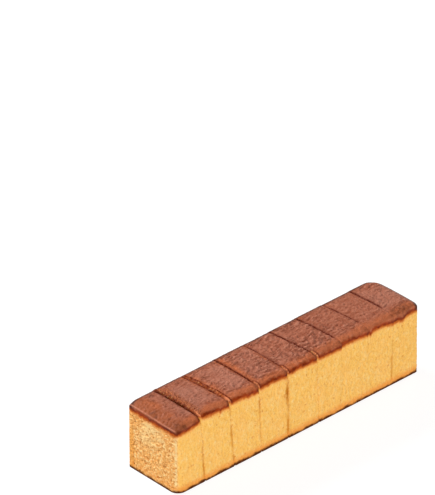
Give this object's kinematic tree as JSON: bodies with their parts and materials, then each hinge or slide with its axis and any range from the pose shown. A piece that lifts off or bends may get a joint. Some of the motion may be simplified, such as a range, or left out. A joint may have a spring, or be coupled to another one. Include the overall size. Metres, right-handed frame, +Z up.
{
  "type": "castella sponge cake",
  "caption": "Long castella sponge loaf with a flat brown top crust and fine yellow crumb, cut across into upright slices that still stand together.",
  "frame": {"origin": "middle of the base", "axes": "+Z up; +X along the loaf, from its near end to its far end; -Y is the front long side"},
  "size_m": [0.261, 0.056, 0.0668],
  "materials": {
    "castella": null
  },
  "bodies": {
    "root": {"slice_1": "castella", "slice_2": "castella", "slice_3": "castella", "slice_4": "castella", "slice_5": "castella", "slice_6": "castella", "slice_7": "castella", "slice_8": "castella", "slice_9": "castella"}
  },
  "joints": []
}
